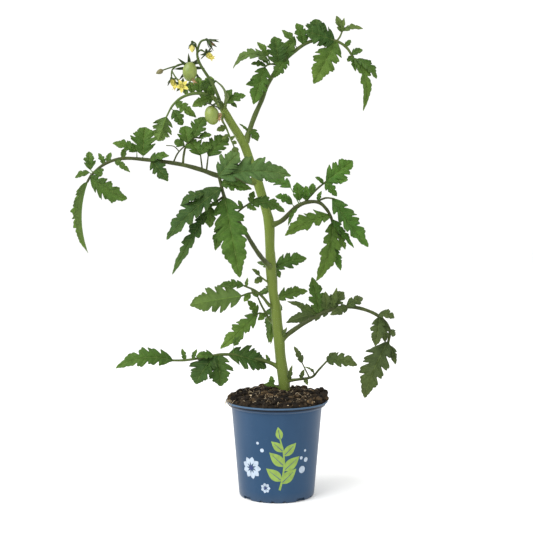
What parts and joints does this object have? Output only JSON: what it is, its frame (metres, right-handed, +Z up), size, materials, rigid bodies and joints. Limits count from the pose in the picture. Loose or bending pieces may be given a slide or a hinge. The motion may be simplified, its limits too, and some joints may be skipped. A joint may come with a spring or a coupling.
{
  "type": "potted tomato plant",
  "caption": "Young tomato plant in a tapered nursery pot, with compound leaves on a leaning stem and a truss of yellow flowers and green fruits.",
  "frame": {"origin": "centre of the pot's underside", "axes": "+Z up along the pot's axis, -Y towards the front, +X to the right seen from the front"},
  "size_m": [0.3764, 0.2035, 0.5623],
  "materials": {
    "pot_blue": "satin blue moulded plastic",
    "soil_brown": "loose dark peat",
    "stem_green": "pale green with fine hairs",
    "leaf_green": "satin green leaf",
    "truss_green": "satin dark green",
    "fruit_green": "smooth waxy skin",
    "petal_yellow": "matt yellow",
    "dry_tan": "withered, matt"
  },
  "bodies": {
    "root": {"pot": "pot_blue", "soil": "soil_brown", "stem": "stem_green", "leaf_top_right": "leaf_green", "leaf_long_left": "leaf_green", "leaf_top_left": "leaf_green", "leaf_apex": "leaf_green", "leaf_small_hanging": "leaf_green", "leaf_front": "leaf_green", "leaf_mid_right": "leaf_green", "leaf_back": "leaf_green", "leaf_arched_right": "leaf_green", "leaf_mid_left": "leaf_green", "leaf_mid_left_lower": "leaf_green", "shoot_axil": "leaf_green", "leaf_low_left": "leaf_green", "leaf_low_right": "leaf_green", "sprig_base": "leaf_green", "truss": "truss_green", "fruit_upper": "fruit_green", "fruit_lower": "fruit_green", "flower_star": "petal_yellow", "flower_side": "petal_yellow", "flower_closed": "petal_yellow", "bud_yellow": "petal_yellow", "dry_petals_top": "dry_tan", "dry_petals_upper": "dry_tan", "dry_petals_lower": "dry_tan"}
  },
  "joints": []
}
